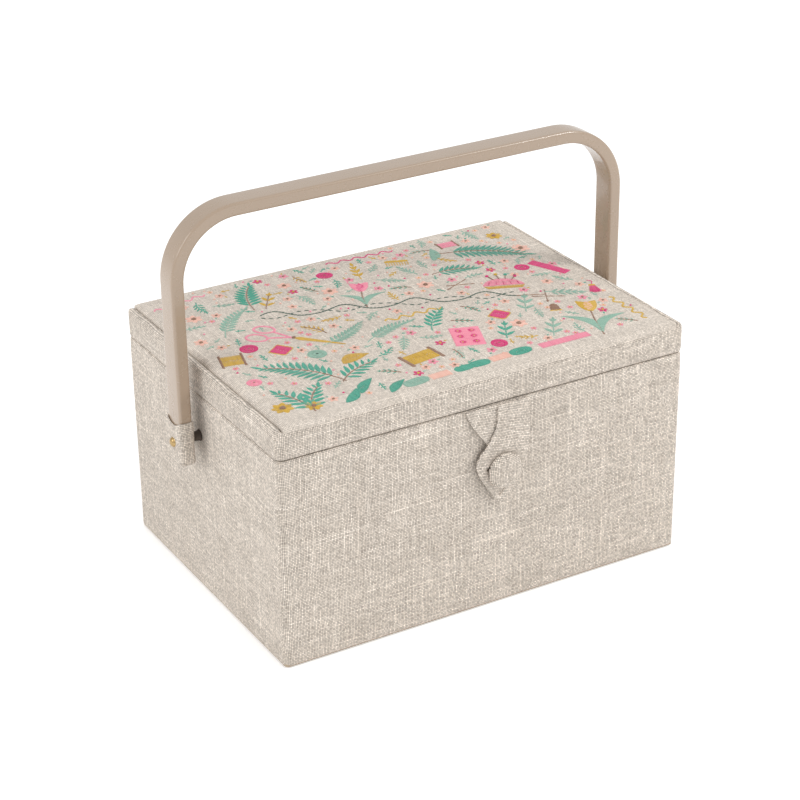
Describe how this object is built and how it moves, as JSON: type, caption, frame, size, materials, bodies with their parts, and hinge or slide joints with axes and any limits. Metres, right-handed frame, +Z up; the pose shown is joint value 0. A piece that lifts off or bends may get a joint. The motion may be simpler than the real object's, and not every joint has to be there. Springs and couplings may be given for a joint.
{
  "type": "sewing box",
  "caption": "Rectangular fabric-covered sewing box with a hinged padded lid, a bail handle, a button-and-loop closure and a lift-out divided tray.",
  "frame": {"origin": "centre of the flat underside, on the surface the box stands on", "axes": "+X to the right along the width, -Y out of the front with the button, +Z up"},
  "size_m": [0.2894, 0.1931, 0.232],
  "materials": {
    "linen": "natural slubby linen weave",
    "embroidered_linen": "natural linen weave with coloured thread embroidery",
    "board": "plain grey-brown fibre board, hidden under cloth",
    "lining_cotton": "plain cream cotton",
    "trim_ribbon": "satin ribbon",
    "pincushion_cloth": "plain cotton, padded",
    "wadding": "polyester wadding, hidden under cloth",
    "handle_plastic": "satin moulded plastic",
    "tray_plastic": "glossy moulded plastic",
    "rivet_brass": "polished",
    "washer_plastic": "matte",
    "thread": "wound thread"
  },
  "bodies": {
    "box": {"base_cover": "linen", "base_board": "board", "wall_front": "board", "wall_back": "board", "wall_left": "board", "wall_right": "board", "outer_cover": "linen", "upper_lining": "lining_cotton", "liner_front": "lining_cotton", "liner_back": "lining_cotton", "liner_left": "lining_cotton", "liner_right": "lining_cotton", "base_pad": "lining_cotton", "washer_left": "washer_plastic", "washer_right": "washer_plastic", "hinge_tape": "lining_cotton", "stay_left": "trim_ribbon", "stay_right": "trim_ribbon", "button_shank": "thread", "button_plate": "rivet_brass", "button_cap": "linen"},
    "lid": {"lid_rim_front": "board", "lid_rim_back": "board", "lid_rim_left": "board", "lid_rim_right": "board", "lid_board": "board", "lid_lining": "lining_cotton", "lid_foam": "wadding", "lid_band_left": "linen", "lid_band_right": "linen", "lid_top_cover": "embroidered_linen", "lid_pocket": "lining_cotton", "pocket_elastic": "trim_ribbon", "pincushion": "pincushion_cloth"},
    "closure_loop": {"closure_loop": "linen"},
    "handle_pivots": {"rivet_left": "rivet_brass", "rivet_right": "rivet_brass", "spacer_left": "washer_plastic", "spacer_right": "washer_plastic"},
    "handle": {"handle_bail": "handle_plastic", "handle_sleeve_left": "linen", "handle_sleeve_right": "linen"},
    "tray": {"tray_tub": "tray_plastic", "tray_divider_long": "tray_plastic", "tray_divider_front_left": "tray_plastic", "tray_divider_front_right": "tray_plastic", "tray_divider_back": "tray_plastic"}
  },
  "joints": [
    {"name": "lid_open", "type": "hinge", "parent": "box", "child": "lid", "pos_m": [0, 0.0925, 0.12405], "axis": [-1, 0, 0], "range_deg": [0, 100], "deforming": ["hinge_tape", "stay_left", "stay_right", "closure_loop"]},
    {"name": "handle_fold", "type": "hinge", "parent": "box", "child": "handle_pivots", "pos_m": [0, 0, 0.1], "axis": [-1, 0, 0], "range_deg": [0, 90]},
    {"name": "handle_swing", "type": "hinge", "parent": "handle_pivots", "child": "handle", "pos_m": [0, 0, 0.1], "axis": [-1, 0, 0], "range_deg": [-120, 30]},
    {"name": "loop_flip", "type": "hinge", "parent": "lid", "child": "closure_loop", "pos_m": [0, -0.0929, 0.1236], "axis": [-1, 0, 0], "range_deg": [0, 90], "deforming": ["closure_loop"]},
    {"name": "tray_lift", "type": "slide", "parent": "box", "child": "tray", "axis": [0, 0, 1], "range_m": [0, 0.05]}
  ],
  "couplings": [
    {"joint": "handle_fold", "follows": "lid_open", "ratio": 0.9},
    {"joint": "tray_lift", "follows": "lid_open", "m_per_rad": 0.0275}
  ]
}
